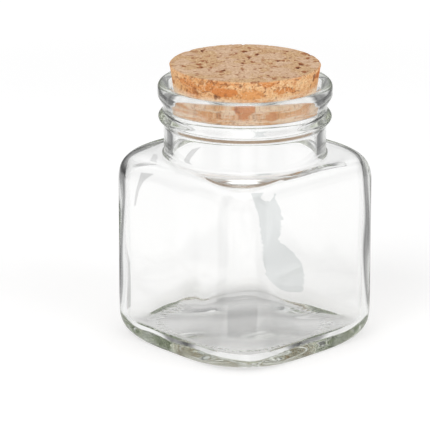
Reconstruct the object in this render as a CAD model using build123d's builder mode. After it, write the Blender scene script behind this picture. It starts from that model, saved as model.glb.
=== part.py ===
from build123d import *
import os
from math import cos, pi, radians, sin, sqrt, tan

# A small square glass jar with a round mouth, closed by a tapered cork stopper.
# Lengths are in millimetres. The jar stands on Z zero with its axis on Z,
# and its four flat sides face along X and Y.

# Body of the jar
body_width = 50.0
body_corner_radius = 9.5
wall_thickness = 2.2
floor_thickness = 2.8
side_height = 32.3
heel_height = 6.9
heel_inset = 1.5
floor_corner_height = 3.4
floor_corner_inset = 2.6
shoulder_height = 8.2

# Underside of the base: a flat ring to stand on around a shallow push-up
stand_ring_width = 3.2
push_up_height = 0.9
push_up_skirt_width = 6.0

# Neck, bead and rim, stacked upwards from the shoulder, whose top runs a little way into the neck.
# A proud size is how far a ring stands out from the neck.
neck_radius = 20.05
neck_height = 7.4
shoulder_overlap = 0.8
bead_proud = 1.4
bead_height = 3.6
pinch_proud = 0.1
pinch_height = 1.1
rim_proud = 1.5
rim_height = 5.8
rim_flank_height = 2.0
rim_outer_round = 1.5
rim_inner_round = 1.4

# Cork stopper, seated on the rounded inner edge of the mouth
stopper_height = 10.8
stopper_proud = 4.7
stopper_taper_angle = 8.5
stopper_clearance = 0.06
stopper_edge_chamfer = 0.35

# How far a cutting shape runs past the surface that it cuts
overrun = 1.0

# Curve shapes: exponents of the superellipses, and how round a level section grows.
# A section's roundness is its corner radius as a share of its half width.
heel_power = 2.6
shoulder_power = 3.1
foot_roundness_share = 0.98
shoulder_roundness_share = 0.97
floor_roundness_share = 0.62

# Even steps that each curve's quarter turn is built in
heel_steps = 8
shoulder_steps = 10
floor_steps = 6

# Levels and radii that follow from the sizes above
half_body = body_width / 2
half_foot = half_body - heel_inset
side_bottom = heel_height
shoulder_bottom = side_bottom + side_height
neck_bottom = shoulder_bottom + shoulder_height
bead_bottom = neck_bottom + neck_height
bead_top = bead_bottom + bead_height
rim_bottom = bead_top + pinch_height
rim_top = rim_bottom + rim_height
bore_radius = neck_radius - wall_thickness
bead_radius = neck_radius + bead_proud
pinch_radius = neck_radius + pinch_proud
rim_radius = neck_radius + rim_proud
cavity_shoulder_height = shoulder_height - wall_thickness
stopper_top = rim_top + stopper_proud
stopper_bottom = stopper_top - stopper_height
seat_level = rim_top - rim_inner_round
seat_radius = bore_radius - stopper_clearance


def level_section(height, half_width, corner_radius):
    """A level rounded square, as one face."""
    with BuildSketch(Plane.XY.offset(height)) as section:
        RectangleRounded(2 * half_width, 2 * half_width, corner_radius)
    return section.sketch


def even_shares(steps):
    """Shares of a quarter turn, from none to all of it."""
    return [step / steps for step in range(steps + 1)]


def swell(share, power):
    """How far a superellipse of that power has closed in, after a share of its quarter turn."""
    return 1 - cos(share * pi / 2) ** (2 / power)


def climb(share, power):
    """How far a superellipse of that power has climbed, after a share of its quarter turn."""
    return sin(share * pi / 2) ** (2 / power)


def heel_sections():
    """Sections of the heel, from the rounder foot up to the straight sides."""
    sections = []
    for share in even_shares(heel_steps):
        drawn_in = 1 - climb(share, heel_power)
        half_width = half_body - heel_inset * drawn_in
        foot_radius = foot_roundness_share * half_foot
        corner_radius = body_corner_radius + (foot_radius - body_corner_radius) * drawn_in
        sections.append(level_section(heel_height * swell(share, heel_power), half_width, corner_radius))
    return sections


def shoulder_sections(bottom, height, half_width, corner_radius, neck):
    """Sections of a shoulder that closes from the square body towards a round neck."""
    sections = []
    end_half_width = neck - shoulder_overlap
    end_radius = shoulder_roundness_share * end_half_width
    for share in even_shares(shoulder_steps):
        drawn_in = swell(share, shoulder_power)
        sections.append(
            level_section(
                bottom + height * climb(share, shoulder_power),
                half_width + (end_half_width - half_width) * drawn_in,
                corner_radius + (end_radius - corner_radius) * drawn_in,
            )
        )
    return sections


def floor_sections(half_width, corner_radius):
    """Sections of the cavity's rounded floor corners, from the floor up to the straight walls."""
    sections = []
    floor_half_width = half_width - floor_corner_inset
    floor_radius = floor_roundness_share * floor_half_width
    for share in even_shares(floor_steps):
        drawn_in = 1 - climb(share, 2)
        sections.append(
            level_section(
                floor_thickness + floor_corner_height * swell(share, 2),
                half_width + (floor_half_width - half_width) * drawn_in,
                corner_radius + (floor_radius - corner_radius) * drawn_in,
            )
        )
    return sections


# Glass jar: a square blown body with a round, pressed finish
half_cavity = half_body - wall_thickness
cavity_corner_radius = body_corner_radius - wall_thickness
side_wall_bottom = floor_thickness + floor_corner_height

with BuildPart() as glass_jar:
    loft(heel_sections(), ruled=True)
    with BuildSketch(Plane.XY.offset(side_bottom)):
        RectangleRounded(body_width, body_width, body_corner_radius)
    extrude(amount=side_height)
    loft(
        shoulder_sections(
            shoulder_bottom,
            shoulder_height,
            half_body,
            body_corner_radius,
            neck_radius,
        ),
        ruled=True,
    )

    # Neck, bead and rim as one turned outline
    with BuildSketch(Plane.XZ):
        with BuildLine():
            flank_bottom = rim_top - rim_outer_round - rim_flank_height
            flank_top = rim_top - rim_outer_round
            outer_slant = rim_outer_round * (1 - sqrt(2) / 2)
            inner_slant = rim_inner_round * (1 - sqrt(2) / 2)
            Polyline(
                (0, shoulder_bottom),
                (neck_radius, shoulder_bottom),
                (neck_radius, bead_bottom),
            )
            ThreePointArc(
                (neck_radius, bead_bottom),
                (bead_radius, bead_bottom + bead_height / 2),
                (pinch_radius, bead_top),
            )
            Polyline(
                (pinch_radius, bead_top),
                (pinch_radius, rim_bottom),
                (rim_radius, flank_bottom),
                (rim_radius, flank_top),
            )
            ThreePointArc(
                (rim_radius, flank_top),
                (rim_radius - outer_slant, rim_top - outer_slant),
                (rim_radius - rim_outer_round, rim_top),
            )
            Line(
                (rim_radius - rim_outer_round, rim_top),
                (bore_radius + rim_inner_round, rim_top),
            )
            ThreePointArc(
                (bore_radius + rim_inner_round, rim_top),
                (bore_radius + inner_slant, rim_top - inner_slant),
                (bore_radius, seat_level),
            )
            Polyline((bore_radius, seat_level), (0, seat_level), (0, shoulder_bottom))
        make_face()
    revolve(axis=Axis.Z)

    # Cavity: rounded floor, straight walls, shoulder and bore
    loft(floor_sections(half_cavity, cavity_corner_radius), ruled=True, mode=Mode.SUBTRACT)
    with BuildSketch(Plane.XY.offset(side_wall_bottom)):
        RectangleRounded(2 * half_cavity, 2 * half_cavity, cavity_corner_radius)
    extrude(amount=shoulder_bottom - side_wall_bottom, mode=Mode.SUBTRACT)
    loft(
        shoulder_sections(
            shoulder_bottom,
            cavity_shoulder_height,
            half_cavity,
            cavity_corner_radius,
            bore_radius,
        ),
        ruled=True,
        mode=Mode.SUBTRACT,
    )
    with BuildSketch(Plane.XY.offset(shoulder_bottom)):
        Circle(bore_radius)
    extrude(amount=seat_level - shoulder_bottom + overrun, mode=Mode.SUBTRACT)

    # Shallow push-up under the base, inside the standing ring: a flat crown with a curved skirt
    push_up_radius = half_foot - stand_ring_width
    push_up_crown_radius = push_up_radius - push_up_skirt_width
    skirt_radius = (push_up_skirt_width**2 + push_up_height**2) / (2 * push_up_height)
    with BuildSketch(Plane.XZ):
        with BuildLine():
            Line((0, 0), (push_up_radius, 0))
            RadiusArc((push_up_radius, 0), (push_up_crown_radius, push_up_height), -skirt_radius)
            Polyline((push_up_crown_radius, push_up_height), (0, push_up_height), (0, 0))
        make_face()
    revolve(axis=Axis.Z, mode=Mode.SUBTRACT)

glass_jar.part.label = "glass_jar"

# Cork stopper: a tapered disc with lightly broken edges
taper = tan(radians(stopper_taper_angle))
stopper_top_radius = seat_radius + taper * (stopper_top - seat_level)
stopper_bottom_radius = seat_radius - taper * (seat_level - stopper_bottom)

with BuildPart() as cork_stopper:
    with BuildSketch(Plane.XY.offset(stopper_bottom)):
        Circle(stopper_bottom_radius)
    with BuildSketch(Plane.XY.offset(stopper_top)):
        Circle(stopper_top_radius)
    loft()
    chamfer(cork_stopper.edges().filter_by(GeomType.CIRCLE), stopper_edge_chamfer)

cork_stopper.part.label = "cork_stopper"

os.makedirs("parts", exist_ok=True)
export_step(glass_jar.part, "parts/glass_jar.step")
export_step(cork_stopper.part, "parts/cork_stopper.step")
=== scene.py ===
import logging
import math
from dataclasses import dataclass, field, replace
from enum import Enum
from functools import partial, reduce
from typing import Any

import bmesh
import bpy
import numpy as np
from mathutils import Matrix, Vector


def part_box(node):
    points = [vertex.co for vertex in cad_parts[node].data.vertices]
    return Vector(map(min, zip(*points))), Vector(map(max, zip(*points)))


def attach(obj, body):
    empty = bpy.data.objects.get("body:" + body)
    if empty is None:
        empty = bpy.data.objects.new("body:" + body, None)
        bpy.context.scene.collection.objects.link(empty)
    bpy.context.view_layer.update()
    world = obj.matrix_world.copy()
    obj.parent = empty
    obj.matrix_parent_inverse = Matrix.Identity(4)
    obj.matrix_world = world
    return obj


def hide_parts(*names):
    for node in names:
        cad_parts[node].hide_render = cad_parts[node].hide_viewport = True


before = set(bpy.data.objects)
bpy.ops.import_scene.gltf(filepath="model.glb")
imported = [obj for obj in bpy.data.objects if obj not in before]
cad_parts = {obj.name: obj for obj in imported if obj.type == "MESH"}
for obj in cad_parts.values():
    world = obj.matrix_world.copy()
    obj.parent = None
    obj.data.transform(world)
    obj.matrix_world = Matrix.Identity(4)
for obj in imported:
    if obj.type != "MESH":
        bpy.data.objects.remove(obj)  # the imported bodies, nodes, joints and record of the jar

# The dressed glass jar and its cork stopper. Lengths in the dataclasses are in millimetres,
# and everything handed to Blender is in metres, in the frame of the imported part.

Colour = tuple[float, float, float, float]
Span = tuple[float, float]
Node = bpy.types.Node
Socket = bpy.types.NodeSocket

MM = 0.001
QUARTER = math.pi / 2
WHITE: Colour = (1.0, 1.0, 1.0, 1.0)
LOG = logging.getLogger("glass_jar")
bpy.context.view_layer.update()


class Body(Enum):
    """The two rigid bodies of the part."""

    JAR = "jar"
    STOPPER = "stopper"


class Slot(Enum):
    """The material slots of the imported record."""

    GLASS = "clear_glass"
    CORK = "cork"


@dataclass
class Graph:
    """Adds nodes to one node tree and joins them.

    Args:
        tree: The shader or geometry node tree that is being built.
    """

    tree: bpy.types.NodeTree

    def add(self, kind: str, inputs: dict[str | int, Any] | None = None, **settings: Any) -> Node:
        """Makes one node.

        Args:
            kind: The node's type name.
            inputs: For each input, by name or number, its value, a socket, or a node for its first output.
            **settings: Properties of the node itself.

        Returns:
            The new node.
        """
        node = self.tree.nodes.new(kind)
        for name, value in settings.items():
            setattr(node, name, value)
        for key, value in (inputs or {}).items():
            source = value.outputs[0] if isinstance(value, Node) else value
            if isinstance(source, Socket):
                self.tree.links.new(source, node.inputs[key])
            else:
                node.inputs[key].default_value = source
        return node

    def math(self, operation: str, *values: Any, clamp: bool = False) -> Socket:
        """A number worked out from others, kept from 0 to 1 where clamp is set."""
        node = self.add("ShaderNodeMath", dict(enumerate(values)), operation=operation, use_clamp=clamp)
        return node.outputs[0]

    def times(self, *factors: Any) -> Socket:
        """The product of some numbers, multiplied in order."""
        return reduce(partial(self.math, "MULTIPLY"), factors)

    def line(self, value: Any, slope: Any, start: Any) -> Socket:
        """A number times a slope, plus a start."""
        return self.math("MULTIPLY_ADD", value, slope, start)

    def vector(self, operation: str, *values: Any) -> Socket:
        """A vector worked out from others."""
        return self.add("ShaderNodeVectorMath", dict(enumerate(values)), operation=operation).outputs[0]

    def scaled(self, vector: Any, scale: Any) -> Socket:
        """A vector times a number."""
        return self.add("ShaderNodeVectorMath", {0: vector, "Scale": scale}, operation="SCALE").outputs[0]

    def length(self, vector: Any) -> Socket:
        """The length of a vector."""
        return self.add("ShaderNodeVectorMath", {0: vector}, operation="LENGTH").outputs["Value"]

    def axes(self, vector: Any) -> tuple[Socket, ...]:
        """The three parts of a vector, or of a colour taken as one."""
        return tuple(self.add("ShaderNodeSeparateXYZ", {"Vector": vector}).outputs)

    def place(self) -> Socket:
        """The point that is shaded, on the object's own axes and in metres."""
        return self.add("ShaderNodeTexCoord").outputs["Object"]

    def turned(self, position: Any, angle: float) -> Socket:
        """A point turned back round the upright axis by an angle in degrees."""
        inputs = {"Vector": position, "Angle": -math.radians(angle)}
        return self.add("ShaderNodeVectorRotate", inputs).outputs[0]

    def rays(self, *kinds: str) -> list[Socket]:
        """What one Light Path node tells of the ray, by the names of its outputs."""
        outputs = self.add("ShaderNodeLightPath").outputs
        return [outputs[kind] for kind in kinds]

    def ramp(self, value: Any, low: float, high: float, start: float = 0.0, end: float = 1.0) -> Socket:
        """A smooth step of a number, from start at low to end at high."""
        inputs = {"Value": value, "From Min": low, "From Max": high, "To Min": start, "To Max": end}
        return self.add("ShaderNodeMapRange", inputs, interpolation_type="SMOOTHSTEP").outputs["Result"]

    def mix(self, share: Any, first: Any, second: Any) -> Socket:
        """A mix of two numbers, where share is how much of the second there is."""
        return self.add("ShaderNodeMix", {0: share, 2: first, 3: second}, data_type="FLOAT").outputs[0]

    def blend(self, share: Any, first: Any, second: Any) -> Socket:
        """A mix of two colours, where share is how much of the second there is."""
        return self.add("ShaderNodeMix", {0: share, 6: first, 7: second}, data_type="RGBA").outputs[2]

    def noise(self, position: Any, size: float, detail: float = 2.0, roughness: float = 0.5) -> Node:
        """Smooth noise in lumps of a size in millimetres."""
        inputs = {"Vector": position, "Scale": 1.0 / (size * MM), "Detail": detail, "Roughness": roughness}
        return self.add("ShaderNodeTexNoise", inputs)

    def shaken(self, point: Any, noise: Node, reach: float) -> Socket:
        """A point moved about by a noise's colour, by up to half the reach, in millimetres."""
        off = self.vector("SUBTRACT", noise.outputs["Color"], (0.5, 0.5, 0.5))
        return self.vector("ADD", point, self.scaled(off, reach * MM))

    def cells(self, position: Any, size: float, feature: str = "F1") -> Node:
        """Voronoi cells of a size in millimetres, read by their middles (F1) or by DISTANCE_TO_EDGE."""
        inputs = {"Vector": position, "Scale": 1.0 / (size * MM)}
        return self.add("ShaderNodeTexVoronoi", inputs, feature=feature)


def colour(red: float, green: float, blue: float) -> Colour:
    """A colour as a shader takes it, from its screen values by the sRGB curve.

    Args:
        red: Red, from 0 to 255.
        green: Green, from 0 to 255.
        blue: Blue, from 0 to 255.

    Returns:
        The linear colour, with full alpha.
    """
    shares = [value / 255 for value in (red, green, blue)]
    linear = [share / 12.92 if share <= 0.04045 else ((share + 0.055) / 1.055) ** 2.4 for share in shares]
    return (linear[0], linear[1], linear[2], 1.0)


def blank(owner: bpy.types.Material | bpy.types.World) -> Graph:
    """Empties the node tree of a material or a world.

    Args:
        owner: The material or the world.

    Returns:
        Its tree, ready to be built.
    """
    owner.use_nodes = True
    owner.node_tree.nodes.clear()
    return Graph(owner.node_tree)


def linked_object(name: str, mesh: bpy.types.Mesh) -> bpy.types.Object:
    """A new object for a mesh, linked to the scene at the origin.

    Args:
        name: The piece's name.
        mesh: Its mesh.

    Returns:
        The object.
    """
    piece = bpy.data.objects.new(name, mesh)
    bpy.context.scene.collection.objects.link(piece)
    return piece


def hide_from(thing: bpy.types.Object, *rays: str) -> None:
    """Hides an object from some kinds of ray, such as glossy ones."""
    for ray in rays:
        setattr(thing, f"visible_{ray}", False)


def even_shares(steps: int) -> list[float]:
    """Even shares of a whole, from 0 to 1."""
    return [step / steps for step in range(steps + 1)]


def superellipse(steps: int, power: float) -> list[Span]:
    """Shares of a quarter superellipse, as pairs of how far it has closed in and how far it has climbed."""
    turns = [share * QUARTER for share in even_shares(steps)]
    return [(1 - math.cos(turn) ** (2 / power), math.sin(turn) ** (2 / power)) for turn in turns]


def eased(value: np.ndarray, start: float, end: float) -> np.ndarray:
    """A smooth step of some numbers, from 0 at start to 1 at end, which may lie below start."""
    share = np.clip((value - start) / (end - start), 0, 1)
    return share**2 * (3 - 2 * share)


def rounded(outline: list[Span], softness: float, spacing: float) -> list[Span]:
    """An outline with its creases softened, in even steps.

    Args:
        outline: Points of (radius, height).
        softness: How far a crease is spread, in millimetres.
        spacing: The length of a step.

    Returns:
        The softened points, with both ends kept.
    """
    per_softness = 5
    span = 3 * per_softness
    points = np.array(outline)
    lengths = np.concatenate([[0.0], np.cumsum(np.hypot(*np.diff(points, axis=0).T))])
    stops = np.linspace(0, lengths[-1], round(lengths[-1] / softness * per_softness) + 1)
    dense = np.stack([np.interp(stops, lengths, column) for column in points.T], axis=1)
    weights = np.exp(-0.5 * (np.arange(-span, span + 1) / per_softness) ** 2)
    before = 2 * dense[0] - dense[span:0:-1]
    after = 2 * dense[-1] - dense[-2 : -span - 2 : -1]
    padded = np.concatenate([before, dense, after])
    soft = np.stack([np.convolve(column, weights / weights.sum(), "valid") for column in padded.T], axis=1)
    picked = np.linspace(0, len(soft) - 1, round(lengths[-1] / spacing) + 1).round().astype(int)
    return [(float(radius), float(height)) for radius, height in soft[picked]]


def ring_piece(name: str, rings: np.ndarray, first_pole: float, last_pole: float) -> bpy.types.Object:
    """A smooth, closed piece of stacked rings with a pole on the axis at each end, its faces outwards.

    Args:
        name: The piece's name.
        rings: The rings' points, as (rings, points round, 3), in millimetres.
        first_pole: The height of the pole that closes the first ring.
        last_pole: The height of the pole that closes the last ring.

    Returns:
        The piece.
    """
    levels, around = rings.shape[:2]
    points = np.vstack([rings.reshape(-1, 3), [(0.0, 0.0, first_pole), (0.0, 0.0, last_pole)]]) * MM
    here = np.arange(around)
    after = (here + 1) % around
    first = levels * around
    top = first - around
    faces: list[list[int]] = []
    for base in range(0, top, around):
        above = base + around
        faces += np.stack([base + here, base + after, above + after, above + here], axis=1).tolist()
    faces += np.stack([np.full(around, first), after, here], axis=1).tolist()
    faces += np.stack([np.full(around, first + 1), top + here, top + after], axis=1).tolist()
    mesh = bpy.data.meshes.new(name)
    mesh.from_pydata(points.tolist(), [], faces)
    mesh.update()
    mesh.shade_smooth()
    return linked_object(name, mesh)


@dataclass
class NodeModifier:
    """A geometry node tree with named inputs, run once on a piece.

    Args:
        name: The tree's name.
        material: The material that the tree sets at its end.
        inputs: Its sizes by name, as plain numbers.
    """

    name: str
    material: bpy.types.Material
    inputs: dict[str, float]
    graph: Graph = field(init=False)
    entry: Node = field(init=False)

    def __post_init__(self) -> None:
        """Makes the tree and its named sockets."""
        tree = bpy.data.node_groups.new(self.name, "GeometryNodeTree")
        tree.interface.new_socket(name="Geometry", in_out="INPUT", socket_type="NodeSocketGeometry")
        for name in self.inputs:
            tree.interface.new_socket(name=name, in_out="INPUT", socket_type="NodeSocketFloat")
        tree.interface.new_socket(name="Geometry", in_out="OUTPUT", socket_type="NodeSocketGeometry")
        self.graph = Graph(tree)
        self.entry = self.graph.add("NodeGroupInput")

    def size(self, name: str) -> Socket:
        """The socket of one named input."""
        return self.entry.outputs[name]

    def finish(self, offset: Socket) -> None:
        """Ends the tree: moves the points, makes the geometry real and sets its material.

        Args:
            offset: The source of how far each point moves.
        """
        geometry = self.entry.outputs["Geometry"]
        moved = self.graph.add("GeometryNodeSetPosition", {"Geometry": geometry, "Offset": offset})
        real = self.graph.add("GeometryNodeRealizeInstances", {"Geometry": moved})
        dressed = self.graph.add("GeometryNodeSetMaterial", {"Geometry": real, "Material": self.material})
        self.graph.add("NodeGroupOutput", {"Geometry": dressed})

    def run(self, piece: bpy.types.Object) -> None:
        """Runs the tree on a piece and keeps the result as its plain mesh.

        Args:
            piece: The object that it changes.
        """
        modifier = piece.modifiers.new(self.name, "NODES")
        modifier.node_group = self.graph.tree
        for item in self.graph.tree.interface.items_tree:
            if item.in_out == "INPUT" and item.name in self.inputs:
                modifier[item.identifier] = float(self.inputs[item.name])
        depsgraph = bpy.context.evaluated_depsgraph_get()
        depsgraph.update()
        made = bpy.data.meshes.new_from_object(piece.evaluated_get(depsgraph), depsgraph=depsgraph)
        piece.modifiers.remove(modifier)
        before = piece.data
        piece.data = made
        bpy.data.meshes.remove(before)
        made.name = piece.name


@dataclass(frozen=True)
class ClearGlass:
    """Smooth clear glass with a faint grey-green tint in its thick parts.

    It lets a share of the lamps' light straight through, so that its shadow is pale, and less at its foot.
    """

    ior: float = 1.5
    tint: Colour = (0.62, 0.68, 0.5, 1.0)
    density: float = 8.0
    lamp_pass: float = 0.9
    foot_pass: float = 0.78
    foot_levels: Span = (2.6, 6.0)

    def material(self) -> bpy.types.Material:
        """Builds the glass.

        Returns:
            The material.
        """
        made = bpy.data.materials.new("clear_glass")
        graph = blank(made)
        glass = graph.add(
            "ShaderNodeBsdfPrincipled",
            {"Base Color": WHITE, "Roughness": 0.0, "IOR": self.ior, "Transmission Weight": 1.0},
        )
        tint = graph.add("ShaderNodeVolumeAbsorption", {"Color": self.tint, "Density": self.density})
        through = graph.math("MAXIMUM", *graph.rays("Is Shadow Ray", "Is Diffuse Ray"))
        low, high = (level * MM for level in self.foot_levels)
        passed = graph.ramp(graph.axes(graph.place())[2], low, high, self.foot_pass, self.lamp_pass)
        clear = graph.add("ShaderNodeBsdfTransparent", {"Color": passed})
        surface = graph.add("ShaderNodeMixShader", {0: through, 1: glass, 2: clear})
        graph.add("ShaderNodeOutputMaterial", {"Surface": surface, "Volume": tint})
        return made


@dataclass(frozen=True)
class Layer:
    """A colour laid over another where a pattern's number takes a smooth step.

    Args:
        colour: The colour that is laid on.
        low: Where the step begins.
        high: Where it ends.
        start: How much of the colour shows up to low.
        end: How much of it shows from high on.
    """

    colour: Colour
    low: float
    high: float
    start: float = 0.0
    end: float = 1.0

    def over(self, graph: Graph, base: Any, pattern: Any, *factors: Any) -> Socket:
        """The base colour with this one over it. What shows of it is multiplied by any further factors."""
        share = graph.ramp(pattern, self.low, self.high, self.start, self.end)
        return graph.blend(graph.times(share, *factors), base, self.colour)


@dataclass(frozen=True)
class Granule:
    """One large granule on the cork's side.

    Args:
        azimuth: Where it lies round the cork, in degrees.
        height: The height of its middle.
        half_width: Half its width.
        half_height: Half its height.
        colour: Its colour.
        radius: How far from the axis its middle lies.
        solid: The share of its half width at which its edge starts to fade.
    """

    azimuth: float
    height: float
    half_width: float
    half_height: float
    colour: Colour
    radius: float = 18.4
    solid: float = 0.85

    def share(self, graph: Graph, position: Any) -> Socket:
        """Builds how much of a point is this granule's.

        Args:
            graph: The tree that it is built in.
            position: The source of the point.

        Returns:
            The share, from 0 to 1.
        """
        turn = math.radians(self.azimuth)
        middle = Vector((self.radius * math.cos(turn), self.radius * math.sin(turn), self.height)) * MM
        shrink = [1 / (half * MM) for half in (self.half_width, self.half_width, self.half_height)]
        away = graph.vector("MULTIPLY", graph.vector("SUBTRACT", position, middle), shrink)
        return graph.ramp(graph.length(away), self.solid, 1.0, 1.0, 0.0)


@dataclass(frozen=True)
class PressedCork:
    """Cork granules pressed into one block: smooth and rough ones, brown chips, dark pits and broken seams.

    A size is that of one lump of a pattern, and a step is the stretch of its number over which it starts
    to show. What is called low is the foot, which is seen through the neck and looks smoother. It is
    painted paler and pinker, as a painted reflection of the glass over it and to make up for the shade that
    the glass casts on it.
    """

    granule_size: float = 4.4
    granule_flatness: float = 1.7
    warp: float = 2.2
    warp_size: float = 3.2
    tear: float = 1.1
    tear_size: float = 0.9
    rough_size: float = 5.2
    rough_step: Span = (0.46, 0.53)
    chip_size: float = 1.9
    chip_turn: float = 46.31
    chip_stretch: float = 0.6
    chip_step: Span = (0.34, 0.4)
    chip_edge: Span = (0.3, 0.46)
    pit_step: Span = (0.54, 0.6)
    pit_edge: Span = (0.22, 0.34)
    seam_edge: Span = (0.02, 0.09)
    break_size: float = 1.4
    break_step: Span = (0.54, 0.62)
    relief_size: float = 0.9
    tone_size: float = 1.1
    streak_size: float = 1.5
    streak_flatness: float = 2.4
    fleck_size: float = 0.8
    fine_size: float = 0.42
    dust_size: float = 0.6
    top_smooth: Colour = colour(214, 184, 156)
    top_rough: Colour = colour(206, 173, 131)
    top_deep: Layer = Layer(colour(192, 154, 120), 0.36, 0.66, 0.65, 0.0)
    side_pale: Colour = colour(240, 198, 148)
    side_tan: Layer = Layer(colour(229, 174, 116), 0.35, 0.6)
    side_orange: Layer = Layer(colour(216, 144, 84), 0.72, 0.8)
    side_deep: Layer = Layer(colour(216, 144, 84), 0.36, 0.66, 0.5, 0.0)
    streak_dark: Layer = Layer(colour(206, 128, 72), 0.52, 0.66, 0.0, 0.7)
    streak_pale: Layer = Layer(colour(240, 198, 148), 0.34, 0.46, 0.6, 0.0)
    low_levels: Span = (64.4, 66.0)
    # painted reflection: how much of the foot takes the paler, pinker painted colour
    painted_reflection_cover: float = 0.75
    low_marks: float = 0.15
    low_size: float = 6.0
    low_flatness: float = 6.0
    # painted reflection: the foot's pale pink stands in for the glass's reflection over it and for the
    # light that the glass takes away
    painted_reflection_pink: Colour = colour(250, 228, 202)
    low_orange: Layer = Layer(colour(232, 176, 130), 0.47, 0.62)
    big_granules: tuple[Granule, ...] = (
        Granule(-60.0, 67.1, 3.7, 1.3, colour(214, 136, 76)),
        Granule(-38.0, 66.6, 3.2, 1.3, colour(226, 160, 100)),
        Granule(-45.0, 63.0, 2.8, 1.9, colour(216, 146, 98)),
        Granule(-24.0, 61.6, 2.2, 1.0, colour(222, 160, 116)),
        Granule(118.0, 67.0, 3.2, 1.4, colour(206, 124, 66)),
        Granule(32.0, 68.2, 2.8, 1.1, colour(210, 130, 72)),
        Granule(200.0, 67.6, 3.4, 1.2, colour(204, 120, 62)),
    )
    big_warp: float = 0.65
    big_smooth: float = 0.6
    fleck: Layer = Layer(colour(236, 210, 172), 0.62, 0.72, 0.0, 0.6)
    fine_pale: Layer = Layer(colour(236, 210, 172), 0.3, 0.48, 0.45, 0.0)
    fine_dark: Layer = Layer(colour(158, 98, 62), 0.52, 0.7, 0.0, 0.45)
    dust: Layer = Layer(colour(158, 98, 62), 0.56, 0.68, 0.0, 0.8)
    dust_on_smooth: float = 0.25
    marks_on_side: float = 0.55
    chip_colour: Colour = colour(148, 88, 54)
    pit_colour: Colour = colour(100, 55, 38)
    seam_strength: float = 0.75
    chip_strength: float = 0.9
    pit_strength: float = 0.95

    def fields(self, graph: Graph, position: Any) -> dict[str, Socket]:
        """Builds the pattern that the shape and the colour share.

        Args:
            graph: The tree that it is built in.
            position: The source of the point.

        Returns:
            Sockets named granule (a random number for each granule), rough, seam, chip, pit and bent.
        """
        bent = graph.shaken(position, graph.noise(position, self.warp_size, detail=3.0), self.warp)
        torn = graph.shaken(bent, graph.noise(position, self.tear_size), self.tear)
        flat = graph.vector("MULTIPLY", bent, (1.0, 1.0, self.granule_flatness))
        granules = graph.cells(flat, self.granule_size).outputs["Color"]
        edges = graph.cells(flat, self.granule_size, "DISTANCE_TO_EDGE").outputs["Distance"]
        rough = graph.ramp(graph.noise(position, self.rough_size), *self.rough_step)
        turned = graph.turned(torn, self.chip_turn)
        drawn_out = graph.vector("MULTIPLY", turned, (1.0, self.chip_stretch, 1.0))
        chips = graph.cells(drawn_out, self.chip_size).outputs
        kind = graph.axes(chips["Color"])[1]
        marks = []
        for edge, step in ((self.chip_edge, self.chip_step), (self.pit_edge, self.pit_step)):
            blob = graph.ramp(chips["Distance"], *edge, 1.0, 0.0)
            marks.append(graph.times(blob, graph.ramp(kind, *step), rough))
        broken = graph.ramp(graph.noise(position, self.break_size, detail=1.0), *self.break_step)
        seam = graph.times(graph.ramp(edges, *self.seam_edge, 1.0, 0.0), broken)
        found = {"granule": graph.axes(granules)[0], "rough": rough, "seam": seam, "bent": bent}
        return found | {"chip": marks[0], "pit": marks[1]}

    def top(self, graph: Graph, parts: dict[str, Socket], tone: Any) -> Socket:
        """The colour of the flat faces, from the shared pattern and a noise that darkens it."""
        plain = graph.blend(parts["rough"], self.top_smooth, self.top_rough)
        return self.top_deep.over(graph, plain, tone)

    def side(self, graph: Graph, parts: dict[str, Socket], tone: Any) -> Socket:
        """Builds the colour of the side above its foot.

        Args:
            graph: The tree that it is built in.
            parts: The shared pattern.
            tone: The noise that darkens it.

        Returns:
            The colour, without the large granules.
        """
        along = graph.vector("MULTIPLY", parts["bent"], (1.0, 1.0, self.streak_flatness))
        streak = graph.noise(along, self.streak_size, detail=4.0, roughness=0.7)
        shown = self.side_pale
        for layer, pattern in (
            (self.side_tan, parts["granule"]),
            (self.side_orange, parts["granule"]),
            (self.side_deep, tone),
            (self.streak_dark, streak),
            (self.streak_pale, streak),
        ):
            shown = layer.over(graph, shown, pattern)
        return shown

    def material(self) -> bpy.types.Material:
        """Builds the cork.

        Returns:
            The material.
        """
        made = bpy.data.materials.new("pressed_cork")
        graph = blank(made)
        position = graph.place()
        parts = self.fields(graph, position)
        face = graph.add("ShaderNodeAttribute", attribute_name="top_share").outputs["Fac"]
        tone = graph.noise(parts["bent"], self.tone_size, detail=5.0, roughness=0.65)
        side = self.side(graph, parts, tone)
        height = graph.axes(position)[2]
        low, high = (level * MM for level in self.low_levels)
        layered = graph.vector("MULTIPLY", position, (1.0, 1.0, self.low_flatness))
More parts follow.
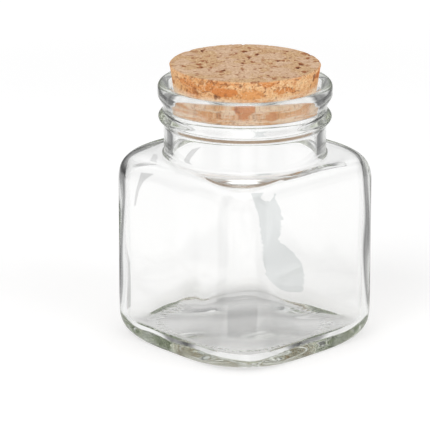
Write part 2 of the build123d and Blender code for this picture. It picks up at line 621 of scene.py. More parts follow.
        # painted reflection: the foot seen through the neck is painted paler, in place of the glass's
        # reflection and shade
        foot = self.low_orange.over(graph, self.painted_reflection_pink, graph.noise(layered, self.low_size, detail=3.0))
        side = graph.blend(graph.ramp(height, low, high, self.painted_reflection_cover, 0.0), side, foot)
        off = graph.scaled(graph.vector("SUBTRACT", parts["bent"], position), self.big_warp)
        smooth = graph.vector("ADD", position, off)
        cover = 0.0
        for big in self.big_granules:
            share = big.share(graph, smooth)
            side = graph.blend(share, side, big.colour)
            cover = graph.math("MAXIMUM", cover, share)
        cover = graph.times(cover, graph.math("SUBTRACT", 1.0, face))
        plain = graph.line(cover, -self.big_smooth, 1.0)
        marks = graph.ramp(height, low, high, self.low_marks, 1.0)
        open_marks = graph.times(marks, plain)
        shown = graph.times(marks, graph.line(face, 1.0 - self.marks_on_side, self.marks_on_side))
        base = graph.blend(face, side, self.top(graph, parts, tone))
        base = self.fleck.over(graph, base, graph.noise(position, self.fleck_size, detail=1.0))
        fine = graph.noise(position, self.fine_size)
        base = self.fine_pale.over(graph, base, fine, plain)
        base = self.fine_dark.over(graph, base, fine, plain)
        dusty = graph.line(parts["rough"], 1.0 - self.dust_on_smooth, self.dust_on_smooth)
        base = self.dust.over(graph, base, graph.noise(parts["bent"], self.dust_size), dusty, open_marks)
        for part, strength, shade, where in (
            ("seam", self.seam_strength, self.chip_colour, open_marks),
            ("chip", self.chip_strength, self.chip_colour, shown),
            ("pit", self.pit_strength, self.pit_colour, shown),
        ):
            base = graph.blend(graph.times(parts[part], where, strength), base, shade)
        shader = graph.add(
            "ShaderNodeBsdfPrincipled",
            {"Base Color": base, "Roughness": 0.85, "Specular IOR Level": 0.25},
        )
        graph.add("ShaderNodeOutputMaterial", {"Surface": shader})
        return made

    def grain(self, depths: dict[str, float]) -> NodeModifier:
        """Builds the tree that sinks chips, pits and seams into the cork.

        Args:
            depths: How deep each of them lies, in metres, by the name of its input.

        Returns:
            The tree, ready to run.
        """
        tree = NodeModifier("cork_grain", self.material(), depths)
        graph = tree.graph
        position = graph.add("GeometryNodeInputPosition").outputs[0]
        parts = self.fields(graph, position)
        sunk = graph.times(parts["pit"], tree.size("Pit depth"))
        sunk = graph.line(parts["chip"], tree.size("Chip depth"), sunk)
        sunk = graph.line(parts["seam"], tree.size("Seam depth"), sunk)
        lumps = graph.noise(position, self.relief_size, detail=3.0, roughness=0.6)
        sunk = graph.line(lumps, tree.size("Roughness"), sunk)
        normal = graph.add("GeometryNodeInputNormal").outputs[0]
        tree.finish(graph.scaled(normal, graph.times(sunk, -1.0)))
        return tree


@dataclass(frozen=True)
class Ring:
    """One level ring of the glass.

    Args:
        height: Its height.
        half_width: Half its width across the flats.
        corner_radius: Its corner radius, which equals half_width on a round one.
        ripple: How much of the cavity's unevenness it takes, from 0 to 1.
    """

    height: float
    half_width: float
    corner_radius: float
    ripple: float = 0.0

    def points(self, angles: np.ndarray) -> np.ndarray:
        """The ring's points at these angles round the axis.

        Args:
            angles: The angles, in radians.

        Returns:
            The points, in millimetres.
        """
        corner = self.half_width - self.corner_radius
        turn = np.abs((angles + np.pi / 4) % QUARTER - np.pi / 4)
        flat = self.half_width / np.cos(turn)
        along = corner * (np.cos(turn) + np.sin(turn))
        arc = along + np.sqrt(np.maximum(along**2 - 2 * corner**2 + self.corner_radius**2, 0))
        reach = np.where(self.half_width * np.tan(turn) <= corner, flat, arc)
        level = np.full_like(angles, self.height)
        return np.stack([reach * np.cos(angles), reach * np.sin(angles), level], axis=1)


@dataclass(frozen=True)
class Cavity:
    """One even shape of the space inside the jar. The jar's own cavity blends three of them.

    Args:
        wall: The thickness of the walls round it.
        corner: Its corner radius.
        rise: How high its shoulder climbs.
        power: The exponent of its shoulder's curve.
        floor: The height of its floor at the edge.
        dome: How far the floor rises to its middle.
        corner_height: How high the rounded floor corner climbs.
        corner_inset: How far the floor corner reaches in.
        roundness: The floor's corner radius as a share of its half width.
        ripple: How much unevenness the floor corner has at its top.
        corner_steps: Steps of the floor corner.
        floor_steps: Steps from there to the middle.
    """

    wall: float
    corner: float
    rise: float
    power: float
    floor: float = 2.4
    dome: float = 0.6
    corner_height: float = 3.4
    corner_inset: float = 3.4
    roundness: float = 0.6
    ripple: float = 0.3
    corner_steps: int = 12
    floor_steps: int = 16

    def floor_rings(self, half: float) -> list[Ring]:
        """Rings of the floor, from the foot of the walls to the middle.

        Args:
            half: Half the width across the walls.

        Returns:
            The rings, inwards.
        """
        floor_half = half - self.corner_inset
        floor_radius = self.roundness * floor_half
        rings = []
        for closed, climbed in reversed(superellipse(self.corner_steps, 2.0)):
            level = self.floor + self.corner_height * closed
            radius = floor_radius + (self.corner - floor_radius) * climbed
            ripple = self.ripple + (1 - self.ripple) * (1 - closed)
            rings.append(Ring(level, floor_half + self.corner_inset * climbed, radius, ripple))
        for share in even_shares(self.floor_steps)[-2:0:-1]:
            width = floor_half * share
            level = self.floor + self.dome * (1 - share**2)
            rings.append(Ring(level, width, width * (1 - (1 - self.roundness) * share), 1.0))
        return rings


@dataclass
class GlassJar:
    """The jar: one piece of clear glass, from its standing ring to its rim.

    The fields with steps in their names say how finely a stretch of its outline is cut. Its waves make the
    cavity uneven: each is its rate along X, Y and Z, in radians a millimetre, and its phase.
    """

    finish: ClearGlass = ClearGlass()
    around: int = 360
    wall: float = 2.2
    corner_radius: float = 9.5
    side_height: float = 32.3
    side_steps: int = 14
    heel_height: float = 6.9
    heel_inset: float = 1.5
    heel_power: float = 2.6
    heel_steps: int = 18
    foot_roundness: float = 0.98
    shoulder_height: float = 8.2
    shoulder_power: float = 3.1
    shoulder_steps: int = 26
    thin: Cavity = Cavity(wall=1.6, corner=7.9, rise=6.7, power=3.1)
    thick: Cavity = Cavity(wall=2.1, corner=7.4, rise=6.5, power=4.5)
    thick_from: Span = (-88.0, -62.0)
    thick_to: Span = (58.0, 95.0)
    front: Cavity = Cavity(wall=2.1, corner=8.5, rise=6.5, power=4.5)
    front_corner: float = -45.0
    front_reach: Span = (16.0, 28.0)
    front_levels: Span = (42.5, 45.5)
    waves: tuple[tuple[float, float, float, float], ...] = (
        (0.31, 0.17, 0.13, 0.4),
        (-0.29, 0.23, 0.21, 1.9),
        (0.47, 0.0, -0.11, 2.7),
        (0.0, 0.41, 0.19, 0.6),
    )
    wall_uneven: float = 0.6
    wall_ripple: float = 0.12
    floor_ripple: float = 0.14
    stand_ring_width: float = 3.2
    stand_ring_steps: int = 9
    push_up_height: float = 0.2
    push_up_power: float = 2.4
    push_up_steps: int = 24
    neck_radius: float = 20.05
    neck_height: float = 7.2
    neck_root: float = 0.6
    bore_root: float = 2.0
    root_steps: int = 6
    neck_foot: float = 46.6
    bead_proud: float = 1.4
    bead_height: float = 4.0
    bead_steps: int = 24
    pinch_proud: float = 0.1
    pinch_height: float = 0.9
    rim_proud: float = 1.5
    rim_flank: float = 2.0
    rim_outer_round: float = 1.25
    rim_inner_round: float = 2.7
    rim_steps: int = 12
    rim_lip: float = 1.0
    bore_steps: int = 8
    finish_softness: float = 0.22
    finish_spacing: float = 0.3
    knurl_count: int = 72
    knurl_depth: float = 0.22
    knurl_inner: float = 19.4
    knurl_outer: float = 21.4
    knurl_top: float = 0.7
    knurl_toward: float = -43.69
    knurl_faint: float = 0.12
    piece: bpy.types.Object | None = None

    @property
    def half_body(self) -> float:
        """Half the body's width, from the frame."""
        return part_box("glass_jar")[1].x / MM

    @property
    def rim_top(self) -> float:
        """The rim's height, from the frame."""
        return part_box("glass_jar")[1].z / MM

    @property
    def half_foot(self) -> float:
        """Half the width of the foot."""
        return self.half_body - self.heel_inset

    @property
    def side_top(self) -> float:
        """The height at which the shoulder starts."""
        return self.heel_height + self.side_height

    @property
    def bore(self) -> float:
        """The radius of the bore through the neck."""
        return self.neck_radius - self.wall

    def underside(self) -> list[Ring]:
        """Builds the push-up and the standing ring.

        Returns:
            The rings, outwards.
        """
        edge = self.half_foot - self.stand_ring_width
        growth = self.foot_roundness * self.half_foot - edge
        rings = []
        for share in even_shares(self.push_up_steps)[1:]:
            height = self.push_up_height * (1 - share**self.push_up_power)
            rings.append(Ring(height, edge * share, edge * share))
        for share in even_shares(self.stand_ring_steps)[1:-1]:
            rings.append(Ring(0.0, edge + self.stand_ring_width * share, edge + growth * share))
        return rings

    def heel(self) -> list[Ring]:
        """Builds the heel.

        Returns:
            The rings, from the foot up to the sides.
        """
        foot_radius = self.foot_roundness * self.half_foot
        rings = []
        for closed, climbed in superellipse(self.heel_steps, self.heel_power):
            half = self.half_foot + self.heel_inset * climbed
            radius = foot_radius + (self.corner_radius - foot_radius) * climbed
            rings.append(Ring(self.heel_height * closed, half, radius))
        return rings

    def sides(self, bottom: float, top: Ring) -> list[Ring]:
        """Rings of straight walls between a height and their top ring, upwards."""
        heights = [bottom + (top.height - bottom) * share for share in even_shares(self.side_steps)]
        return [replace(top, height=height) for height in heights[1:-1]]

    def shoulder(self, rise: float, power: float, walls: Ring, neck: float, root: float) -> list[Ring]:
        """Rings of a shoulder and the root of its neck.

        Args:
            rise: How high the shoulder climbs.
            power: The exponent of its curve.
            walls: The top ring of the walls below it.
            neck: The radius of the neck.
            root: The radius of the rounding at the neck's root.

        Returns:
            The rings, upwards.
        """
        end = neck + root
        rings = []
        for closed, climbed in superellipse(self.shoulder_steps, power):
            width = walls.half_width + (end - walls.half_width) * closed
            radius = min(walls.corner_radius + (end - walls.corner_radius) * closed, width)
            rings.append(Ring(walls.height + rise * climbed, width, radius, walls.ripple * (1 - closed)))
        for share in even_shares(self.root_steps)[1:]:
            out = end - root * math.sin(share * QUARTER)
            rings.append(Ring(walls.height + rise + root * (1 - math.cos(share * QUARTER)), out, out))
        return rings

    def finish_rings(self) -> list[Ring]:
        """Builds the neck, the bead and the rim.

        Returns:
            The rings, up the outside, over the top and down the bore.
        """
        neck = self.neck_radius
        rim = neck + self.rim_proud
        neck_bottom = self.side_top + self.shoulder_height
        bead_bottom = neck_bottom + self.neck_height
        flank_top = self.rim_top - self.rim_outer_round
        outline = [(neck, neck_bottom + self.neck_root)]
        for share in even_shares(self.bead_steps):
            swell = (self.bead_proud - self.pinch_proud / 2) * math.sin(math.pi * share) ** 2
            out = neck + self.pinch_proud * share + swell
            outline.append((out, bead_bottom + self.bead_height * share))
        outline.append((neck + self.pinch_proud, bead_bottom + self.bead_height + self.pinch_height))
        outline.append((rim, flank_top - self.rim_flank))
        outline.append((rim, flank_top))
        turns = [share * QUARTER for share in even_shares(self.rim_steps)]
        for turn in turns[1:]:
            out = rim - self.rim_outer_round * (1 - math.cos(turn))
            outline.append((out, flank_top + self.rim_outer_round * math.sin(turn)))
        for turn in turns:
            out = self.bore + self.rim_inner_round * (1 - math.sin(turn))
            outline.append((out, self.rim_top - self.rim_inner_round * (1 - math.cos(turn))))
        low_bore = self.rim_top - self.rim_inner_round - self.rim_lip
        outline.append((self.bore, low_bore))
        soft = rounded(outline, self.finish_softness, self.finish_spacing)
        rings = [Ring(height, out, out) for out, height in soft[1:]]
        for share in even_shares(self.bore_steps)[1:-1]:
            rings.append(Ring(low_bore + (self.neck_foot - low_bore) * share, self.bore, self.bore))
        return rings

    def outside_rings(self) -> list[Ring]:
        """Builds the whole outside.

        Returns:
            The rings, from the middle of the underside, round the rim, to the foot of the bore.
        """
        walls = Ring(self.side_top, self.half_body, self.corner_radius)
        shoulder = self.shoulder(
            self.shoulder_height, self.shoulder_power, walls, self.neck_radius, self.neck_root
        )
        sides = self.sides(self.heel_height, walls)
        return [*self.underside(), *self.heel(), *sides, *shoulder, *self.finish_rings()]

    def cavity_rings(self, cavity: Cavity) -> list[Ring]:
        """Rings of one cavity, from its shoulder down to the middle of its floor.

        Args:
            cavity: Its sizes.

        Returns:
            The rings, as many for every cavity.
        """
        walls = Ring(self.side_top, self.half_body - cavity.wall, cavity.corner, self.wall_uneven)
        shoulder = self.shoulder(cavity.rise, cavity.power, walls, self.bore, self.bore_root)
        sides = self.sides(cavity.floor + cavity.corner_height, walls)
        return [*reversed(shoulder), *reversed(sides), *cavity.floor_rings(walls.half_width)]

    def cavity_points(self, angles: np.ndarray) -> np.ndarray:
        """The cavity's points: the thin shape, the thick one on one side, a front corner, and ripples.

        Args:
            angles: The angles round the axis, in radians.

        Returns:
            The points, as (rings, angles, 3), in millimetres.
        """
        degrees = np.degrees((angles + np.pi) % (2 * np.pi) - np.pi)
        thin, thick, front = (
            np.stack([ring.points(angles) for ring in self.cavity_rings(cavity)])
            for cavity in (self.thin, self.thick, self.front)
        )
        share = np.minimum(eased(degrees, *self.thick_from), eased(degrees, *reversed(self.thick_to)))
        points = thin * (1 - share[:, None]) + thick * share[:, None]
        aside = np.abs((degrees - self.front_corner + 180) % 360 - 180)
        near = eased(aside, *reversed(self.front_reach))
        weight = (near * eased(points[..., 2], *reversed(self.front_levels)))[..., None]
        points = points * (1 - weight) + front * weight
        x, y, z = np.moveaxis(points, 2, 0)
        wide, cross, short, patch = (np.sin(points @ wave[:3] + wave[3]) for wave in np.array(self.waves))
        ripple = np.array([ring.ripple for ring in self.cavity_rings(self.thin)])[:, None]
        swell = (wide + cross + short * patch) * ripple
        flat = np.clip((z - self.thin.floor) / self.thin.corner_height, 0, 1)
        push = self.wall_ripple * swell * flat / np.maximum(np.hypot(x, y), 1)
        lift = self.floor_ripple * swell * (1 - flat)
        return np.stack([x * (1 + push), y * (1 + push), z + lift], axis=2)

    def build(self) -> bpy.types.Object:
        """Builds the jar's mesh.

        Returns:
            The piece.
        """
        angles = np.linspace(0, 2 * np.pi, self.around, endpoint=False)
        outside = np.stack([ring.points(angles) for ring in self.outside_rings()])
        inside = self.cavity_points(angles)
        rings = np.concatenate([outside, inside])
        self.piece = ring_piece("glass_jar_body", rings, self.push_up_height, inside[-1, :, 2].mean())
        return self.piece

    def knurls(self) -> NodeModifier:
        """Builds the tree that presses the row of short knurls into the standing ring.

        Returns:
            The tree, ready to run.
        """
        sizes = {
            "Count": float(self.knurl_count),
            "Depth": self.knurl_depth * MM,
            "Inner radius": self.knurl_inner * MM,
            "Outer radius": self.knurl_outer * MM,
            "Top": self.knurl_top * MM,
            "Deepest toward": math.radians(self.knurl_toward),
            "Faintest share": self.knurl_faint,
        }
        tree = NodeModifier("standing_knurls", self.finish.material(), sizes)
        graph = tree.graph
        x, y, z = graph.axes(graph.add("GeometryNodeInputPosition"))
        reach = graph.math("SQRT", graph.math("ADD", graph.times(x, x), graph.times(y, y)))
        round_axis = graph.math("ARCTAN2", y, x)
        away = graph.math("SUBTRACT", round_axis, tree.size("Deepest toward"))
        near = graph.line(graph.math("COSINE", away), 0.5, 0.5)
        wave = graph.line(graph.math("COSINE", graph.times(round_axis, tree.size("Count"))), 0.5, 0.5)
        rise = graph.times(
            wave,
            graph.math("GREATER_THAN", reach, tree.size("Inner radius")),
            graph.math("LESS_THAN", reach, tree.size("Outer radius")),
            graph.math("LESS_THAN", z, tree.size("Top")),
            graph.math("MAXIMUM", near, tree.size("Faintest share")),
            tree.size("Depth"),
        )
        tree.finish(graph.add("ShaderNodeCombineXYZ", {"Z": rise}).outputs[0])
        return tree

    def dress(self) -> None:
        """Gives the jar its glass and ties it to its body."""
        self.knurls().run(self.piece)
        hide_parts("glass_jar")
        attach(self.piece, Body.JAR.value)


@dataclass
class CorkStopper:
    """The stopper: a tapered disc of pressed cork, which leans a little towards one side.

    The share of the top's look is 1 on its flat faces, edge_share on the top's edge and 0 on its side.
    """

    finish: PressedCork = PressedCork()
    around: int = 460
    spacing: float = 0.26
    underside_steps: int = 24
    taper_angle: float = 8.5
    chamfer: float = 0.35
    edge_share: float = 0.7
    tilt_drop: float = 0.15
    tilt_toward: float = 46.31
    tilt_from: float = 64.5
    pit_depth: float = 0.3
    chip_depth: float = 0.12
    seam_depth: float = 0.06
    roughness: float = 0.12
    piece: bpy.types.Object | None = None

    @property
    def bottom(self) -> float:
        """The height of its underside, from the frame."""
        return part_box("cork_stopper")[0].z / MM

    @property
    def top(self) -> float:
        """The height of its top, from the frame."""
        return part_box("cork_stopper")[1].z / MM

    @property
    def top_radius(self) -> float:
        """The widest radius, just under the top's broken edge, from the frame."""
        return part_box("cork_stopper")[1].x / MM

    def outline(self) -> list[tuple[float, float, float]]:
        """Builds the half outline, from the middle of the underside to the middle of the top.

        Returns:
            Points of (radius, height, share of the top's look).
        """
        slope = math.tan(math.radians(self.taper_angle))
        low, high = self.bottom + self.chamfer, self.top - self.chamfer
        low_radius = self.top_radius - slope * (high - self.bottom)
        flat = low_radius - self.chamfer
        crown = self.top_radius - self.chamfer
        points = [(flat * share, self.bottom, 1.0) for share in even_shares(self.underside_steps)[1:]]
        points.append((low_radius, low, 0.0))
        for share in even_shares(round((high - low) / self.spacing))[1:-1]:
            rise = (high - low) * share
            points.append((low_radius + slope * rise, low + rise, 0.0))
        points.append((self.top_radius, high, 0.0))
        points.append((crown, self.top, self.edge_share))
        inwards = even_shares(round(crown / self.spacing))[1:-1]
        return points + [(crown * (1 - share), self.top, 1.0) for share in inwards]

    def build(self) -> bpy.types.Object:
        """Builds the stopper's mesh.

        Returns:
            The piece.
        """
        angles = np.linspace(0, 2 * np.pi, self.around, endpoint=False)
        radii, heights, shares = np.array(self.outline()).T
        rings = np.empty((len(radii), self.around, 3))
        rings[..., 0] = np.outer(radii, np.cos(angles))
        rings[..., 1] = np.outer(radii, np.sin(angles))
        rings[..., 2] = heights[:, None]
        toward = math.radians(self.tilt_toward)
        along = (rings[..., 0] * math.cos(toward) + rings[..., 1] * math.sin(toward)) / self.top_radius
        raised = np.clip((rings[..., 2] - self.tilt_from) / (self.top - self.tilt_from), 0, 1)
        rings[..., 2] -= raised * self.tilt_drop * (1 + along) / 2
        self.piece = ring_piece("cork_stopper_disc", rings, self.bottom, self.top - self.tilt_drop / 2)
        values = np.concatenate([np.repeat(shares, self.around), [1.0, 1.0]]).astype(np.float32)
        self.piece.data.attributes.new("top_share", "FLOAT", "POINT").data.foreach_set("value", values)
        return self.piece

    def dress(self) -> None:
        """Gives the stopper its cork and ties it to its body."""
        depths = {
            "Pit depth": self.pit_depth * MM,
            "Chip depth": self.chip_depth * MM,
            "Seam depth": self.seam_depth * MM,
            "Roughness": self.roughness * MM,
        }
        self.finish.grain(depths).run(self.piece)
        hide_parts("cork_stopper")
        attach(self.piece, Body.STOPPER.value)


@dataclass(frozen=True)
class Lamp:
    """A soft square lamp.

    Args:
        name: Its name.
        place: Where it is, in metres.
        size: Its side, in metres.
        power: Its power, in watts.
    """

    name: str
    place: tuple[float, float, float]
    size: float
    power: float

    def build(self, aim: Vector) -> None:
        """Makes the lamp and points it.

        Args:
            aim: The point it shines at.
        """
        light = bpy.data.lights.new(self.name, "AREA")
        light.shape = "SQUARE"
        light.size = self.size
        light.energy = self.power
        lamp = bpy.data.objects.new(self.name, light)
        lamp.location = Vector(self.place)
        lamp.rotation_mode = "QUATERNION"
        lamp.rotation_quaternion = (aim - Vector(self.place)).to_track_quat("-Z", "Y")
        hide_from(lamp, "camera", "glossy", "transmission")
        bpy.context.scene.collection.objects.link(lamp)


@dataclass(frozen=True)
class Glow:
    """A round soft box, or a dark card, that shows only in what is glossy.

    Args:
        toward: Where it is, as a direction.
        level: How bright it is, or how much darker than the room when it is below 0.
        outer: The angle from its middle at which it has faded out, in degrees.
        inner: The angle from its middle up to which it is full.
    """

    toward: tuple[float, float, float]
    level: float
    outer: float
    inner: float

    def level_toward(self, graph: Graph, toward: Any) -> Socket:
        """Builds its brightness in a direction.

        Args:
            graph: The tree that it is built in.
            toward: The source of the direction.

        Returns:
            The brightness.
        """
        middle = Vector(self.toward).normalized()
        facing = graph.add("ShaderNodeVectorMath", {0: toward, 1: middle}, operation="DOT_PRODUCT")
        outer, inner = (math.cos(math.radians(turn)) for turn in (self.outer, self.inner))
        return graph.ramp(facing.outputs["Value"], outer, inner, 0.0, self.level)


@dataclass(frozen=True)
class PaintedShadeStreak:
    """A soft grey streak of painted shade on the floor behind the jar, which shows only through its glass,
    in place of a streak of shade in the glass.

    Args:
        far: The middle of its far end, to the right and away from the camera.
        near: The middle of its near end.
        far_half: Half its width at the far end.
        near_half: Half its width at the near end.
        depth: How much darker it is.
        ragged: How uneven its edges are.
        edge: Half the width over which its long edges fade.
        near_fade: The length over which its near end fades.
        far_fade: The length over which its far end fades.
    """

    far: Span
    near: Span
    far_half: float
    near_half: float
    depth: float
    ragged: float = 0.0
    edge: float = 0.3
    near_fade: float = 4.0
    far_fade: float = 6.0

    def share(self, graph: Graph, across: Any, away: Any, uneven: Any) -> Socket:
        """Builds how dark a point of the floor is.

        Args:
            graph: The tree that it is built in.
            across: The source of the point's distance to the right, in millimetres.
            away: The source of its distance away from the camera.
            uneven: The source of a random number round 0.

        Returns:
            The share of light that the streak takes.
        """
        (far_across, far_away), (near_across, near_away) = self.far, self.near
        passed = graph.math("SUBTRACT", far_away, away)
        along = graph.math("DIVIDE", passed, far_away - near_away, clamp=True)
        middle = graph.line(along, near_across - far_across, far_across)
        half = graph.line(along, self.near_half - self.far_half, self.far_half)
        off = graph.math("ABSOLUTE", graph.math("SUBTRACT", across, middle))
        off = graph.math("SUBTRACT", graph.line(uneven, self.ragged, off), half)
        inside = graph.ramp(off, -self.edge, self.edge, 1.0, 0.0)
        started = graph.ramp(away, near_away - self.near_fade, near_away)
        ended = graph.ramp(away, far_away, far_away + self.far_fade, 1.0, 0.0)
        return graph.times(inside, self.depth, started, ended)


@dataclass(frozen=True)
class PaintedShadeFilm:
    """A ragged strip of grey film, a sheet of painted shade, that stands behind the jar and shows only
    through its glass, in place of a streak of shade in the glass.

    Args:
        rows: Its outline, as heights with the left and right edge there.
        stand_off: How far behind the jar's axis its slanting plane cuts the line of sight.
        steps: Steps that each row is cut into.
        ragged: How uneven its edges are.
        passed: The colour of the light that it lets through.
        seed: The seed of its uneven edges.
    """

    rows: tuple[tuple[float, float, float], ...] = (
        (2.5, 10.5, 14.4),
        (4.1, 8.5, 14.6),
        (5.4, 6.4, 14.6),
        (7.5, 6.1, 14.6),
        (10.4, 5.6, 13.4),
        (12.4, 5.5, 11.6),
        (14.2, 5.3, 9.0),
        (16.4, 4.7, 8.4),
        (18.7, 4.2, 9.0),
        (21.6, 3.6, 9.4),
        (25.6, 3.2, 9.4),
        (26.4, 2.8, 5.8),
    )
    stand_off: float = 37.0
    steps: int = 5
    ragged: float = 0.45
    passed: Colour = (0.78, 0.8, 0.802, 1.0)
    seed: int = 5

    def build(self, right: Vector) -> None:
        """Makes the film.

        Args:
            right: The direction of the camera's right.
        """
        away = Vector((-right.y, right.x, 0.0))
        random = np.random.default_rng(self.seed)
        knots = np.array(self.rows)
        last = len(knots) - 1
        places = np.linspace(0, last, last * self.steps + 1)
        heights, *sides = (np.interp(places, np.arange(last + 1), column) for column in knots.T)
        sides = [side + random.uniform(-self.ragged, self.ragged, len(places)) for side in sides]
        points = []
        for level, *edges in zip(heights, *sides):
            for edge in edges:
                spot = right * edge + away * (self.stand_off - edge)
                points.append(Vector((spot.x, spot.y, level)) * MM)
        faces = [(low, low + 1, low + 3, low + 2) for low in range(0, len(points) - 2, 2)]
        mesh = bpy.data.meshes.new("painted_shade_film")
        mesh.from_pydata(points, [], faces)
        material = bpy.data.materials.new("painted_shade_film")
        # painted shade: the film darkens whatever shows through the glass behind it
        graph = blank(material)
        clear = graph.add("ShaderNodeBsdfTransparent", {"Color": self.passed})
        graph.add("ShaderNodeOutputMaterial", {"Surface": clear})
        mesh.materials.append(material)
        film = linked_object("painted_shade_film", mesh)
        hide_from(film, "camera", "diffuse", "glossy", "shadow")


@dataclass
class Studio:
    """The pale floor, the soft light and the camera.

    A level is a brightness. Soft boxes stand at the jar's corners, with darker gaps between them. The room
    and its glows show only in what mirrors them, and the painted shade marks on the floor and the film of
    painted shade only through glass.
    """

    azimuth: float = 46.31
    elevation: float = 17.38
    distance: float = 0.7558
    focal_pixels: float = 3038.8
    frame_pixels: float = 430.0
    target_pixel: Span = (244.7, 198.5)
    target_height: float = 35.0
    sensor: float = 36.0
    clip: Span = (0.01, 20.0)
    lamps: tuple[Lamp, ...] = (
        Lamp("key", (0.1, -0.9, 0.9), 0.7, 6.0),
        Lamp("fill", (0.9, 0.2, 0.7), 0.7, 4.0),
    )
    world_level: float = 0.62
    box_level: float = 0.88
    gap_level: float = 0.26
    gap_edge: Span = (24.0, 36.0)
    patch_scale: float = 5.0
    patch_depth: float = 1.0
    patch_edge: Span = (8.0, 30.0)
    patch_in_box: float = 0.3
    overhead_level: float = 0.95
    horizon_level: float = 0.12
    horizon_to: float = 0.5
    glows: tuple[Glow, ...] = (
        Glow((0.39, -0.37, 0.85), 1.6, 28.0, 8.0),
        Glow((-0.3, 0.29, 0.92), -0.4, 30.0, 12.0),
    )
    # painted shade: grey marks on the floor that show only through the glass, in place of shade in the
    # glass
    painted_shade_streaks: tuple[PaintedShadeStreak, ...] = (
        PaintedShadeStreak((-28.0, 176.0), (-31.6, 104.0), 3.2, 0.9, 0.3),
        PaintedShadeStreak((-52.0, 50.0), (-39.0, 17.0), 10.0, 7.5, 0.4, ragged=1.0),
        PaintedShadeStreak((-0.6, 11.0), (-0.6, -6.0), 2.6, 2.6, 0.32, ragged=0.6),
    )
    painted_streak_grain: float = 2.4
    painted_streak_stretch: float = 0.16
    near_floor: Span = (0.2, 0.5)
    through_level: float = 1.06
    floor_colour: float = 0.93
    floor_glow: float = 0.14
    far_glow: float = 0.3
    floor_radius: float = 1.6
    floor_gap: float = 0.02
    bounces: int = 80
    clear_bounces: int = 24

    @property
    def right(self) -> Vector:
        """The direction of the camera's right."""
        return Vector((math.cos(math.radians(self.azimuth)), math.sin(math.radians(self.azimuth)), 0.0))

    @property
    def target(self) -> Vector:
        """The middle of the jar, in metres."""
        return Vector((0.0, 0.0, self.target_height * MM))

    def camera(self) -> None:
        """Sets the camera at the photograph's viewing angle."""
        right, elevation = self.right, math.radians(self.elevation)
        level = math.cos(elevation)
        back = Vector((right.y * level, -right.x * level, math.sin(elevation)))
        pixel = self.distance / self.focal_pixels
        centre = self.frame_pixels / 2
        across, down = self.target_pixel[0] - centre, self.target_pixel[1] - centre
        aim = self.target - right * pixel * across + back.cross(right) * pixel * down
        data = bpy.data.cameras.new("photo_view")
        data.sensor_width = self.sensor
        data.lens = self.focal_pixels / self.frame_pixels * self.sensor
        data.clip_start, data.clip_end = self.clip
        camera = bpy.data.objects.new("photo_view", data)
        camera.location = self.target + back * self.distance
        camera.rotation_mode = "QUATERNION"
        camera.rotation_quaternion = (aim - camera.location).to_track_quat("-Z", "Y")
        bpy.context.scene.collection.objects.link(camera)
        bpy.context.scene.camera = camera

    def sees_backdrop(self, graph: Graph) -> Socket:
        """A socket that is 1 for the camera's rays, and for those through or off the glass."""
        camera, glossy, through = graph.rays("Is Camera Ray", "Is Glossy Ray", "Is Transmission Ray")
        return graph.math("MAXIMUM", graph.math("MAXIMUM", camera, glossy), through, clamp=True)

    def mirrored(self, graph: Graph) -> Socket:
        """A socket that is 1 for a ray that some surface mirrored."""
        return graph.math("GREATER_THAN", *graph.rays("Glossy Depth"), 0.5)

    def room(self, graph: Graph, toward: Any) -> Socket:
        """Builds how bright the room is for light that was mirrored.

        Args:
            graph: The tree that it is built in.
            toward: The source of the direction that the light came from, or of the point on the floor.

        Returns:
            The brightness.
        """
        x, y, _ = graph.axes(toward)
        turn = graph.times(graph.math("ARCTAN2", y, x), 180 / math.pi)
        off = graph.math("ABSOLUTE", graph.math("SUBTRACT", graph.math("FLOORED_MODULO", turn, 90.0), 45.0))
        direction = graph.vector("NORMALIZE", toward)
        patch = graph.add("ShaderNodeTexNoise", {"Vector": direction, "Scale": self.patch_scale}).outputs[0]
        uneven = graph.times(graph.math("SUBTRACT", patch, 0.5), self.patch_depth)
        level = graph.ramp(off, *self.gap_edge, self.box_level, self.gap_level)
        shown = graph.ramp(off, *self.patch_edge, self.patch_in_box)
        return graph.math("ADD", level, graph.times(uneven, shown))

    def painted_streak_shade(self, graph: Graph, place: Any) -> Socket:
        """Builds how much light the floor's painted shade marks take from what shows through the glass.

        Args:
            graph: The tree that it is built in.
            place: The source of the point on the floor, in metres.

        Returns:
            The share of light.
        """
        turned = graph.turned(place, self.azimuth)
        across, away, _ = graph.axes(graph.scaled(turned, 1 / MM))
        drawn_out = graph.vector("MULTIPLY", turned, (1.0, self.painted_streak_stretch, 1.0))
        uneven = graph.math("SUBTRACT", graph.noise(drawn_out, self.painted_streak_grain, detail=4.0), 0.5)
        taken = 0.0
        for streak in self.painted_shade_streaks:
            taken = graph.math("MAXIMUM", taken, streak.share(graph, across, away, uneven))
        return graph.times(taken, *graph.rays("Is Transmission Ray"))

    def world(self) -> None:
        """Makes the even soft light and the white surroundings."""
        world = bpy.data.worlds.new("studio")
        graph = blank(world)
        toward = graph.add("ShaderNodeTexCoord").outputs["Generated"]
        up = graph.axes(toward)[2]
        height = graph.ramp(up, 0.0, self.horizon_to, self.horizon_level, self.overhead_level)
        room = graph.times(height, graph.math("SQRT", self.room(graph, toward)))
        for glow in self.glows:
            room = graph.math("MAXIMUM", graph.math("ADD", room, glow.level_toward(graph, toward)), 0.0)
        plain = graph.mix(*graph.rays("Is Camera Ray"), self.through_level, 1.0)
        shown = graph.mix(self.mirrored(graph), plain, room)
        strength = graph.mix(self.sees_backdrop(graph), self.world_level, shown)
        sky = graph.add("ShaderNodeBackground", {"Color": WHITE, "Strength": strength})
        graph.add("ShaderNodeOutputWorld", {"Surface": sky})
        bpy.context.scene.world = world

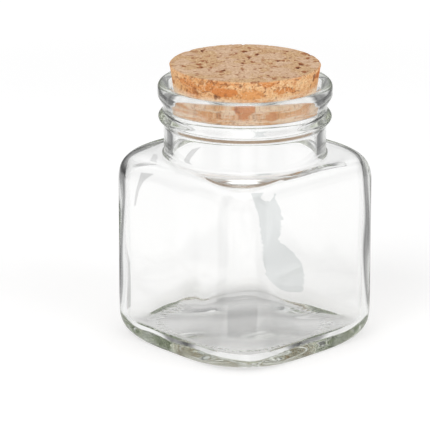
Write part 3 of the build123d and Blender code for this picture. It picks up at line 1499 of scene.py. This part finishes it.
    def floor(self) -> None:
        """Makes the pale floor, which keeps the jar's shadow."""
        mesh = bpy.data.meshes.new("floor")
        shape = bmesh.new()
        bmesh.ops.create_circle(shape, cap_ends=True, segments=64, radius=self.floor_radius)
        shape.to_mesh(mesh)
        shape.free()
        material = bpy.data.materials.new("pale_floor")
        graph = blank(material)
        level = self.floor_colour
        matt = graph.add("ShaderNodeBsdfDiffuse", {"Color": (level, level, level, 1.0)})
        place = graph.place()
        far = graph.ramp(graph.length(place), *self.near_floor)
        glow = graph.ramp(far, 0.0, 1.0, self.floor_glow, self.far_glow)
        seen = graph.add("ShaderNodeEmission", {"Strength": graph.times(self.sees_backdrop(graph), glow)})
        lit = graph.add("ShaderNodeAddShader", {0: matt, 1: seen})
        # painted shade: the streak marks darken the floor where it shows through the glass
        unlit = graph.add("ShaderNodeEmission", {"Strength": 0.0})
        lit = graph.add("ShaderNodeMixShader", {0: self.painted_streak_shade(graph, place), 1: lit, 2: unlit})
        room = graph.mix(far, self.room(graph, place), self.horizon_level)
        dull = graph.add("ShaderNodeEmission", {"Strength": room})
        surface = graph.add("ShaderNodeMixShader", {0: self.mirrored(graph), 1: lit, 2: dull})
        graph.add("ShaderNodeOutputMaterial", {"Surface": surface})
        mesh.materials.append(material)
        floor = linked_object("floor", mesh)
        floor.location.z = -self.floor_gap * MM

    def build(self) -> None:
        """Makes the whole studio."""
        self.camera()
        self.world()
        self.floor()
        # painted shade: a grey sheet that shows only through the glass
        PaintedShadeFilm().build(self.right)
        for lamp in self.lamps:
            lamp.build(self.target)
        scene = bpy.context.scene
        scene.view_settings.view_transform = "Standard"
        scene.cycles.max_bounces = self.bounces
        scene.cycles.transmission_bounces = self.bounces
        scene.cycles.glossy_bounces = self.bounces
        scene.cycles.transparent_max_bounces = self.clear_bounces


def main() -> None:
    """Builds the studio, the jar and the stopper, and reports each piece."""
    logging.basicConfig(level=logging.INFO, format="%(name)s: %(message)s")
    Studio().build()
    for assembly in (GlassJar(), CorkStopper()):
        piece = assembly.build()
        assembly.dress()
        triangles = sum(len(face.vertices) - 2 for face in piece.data.polygons)
        LOG.info("%s has %d triangles", piece.name, triangles)


if __name__ == "__main__":
    main()
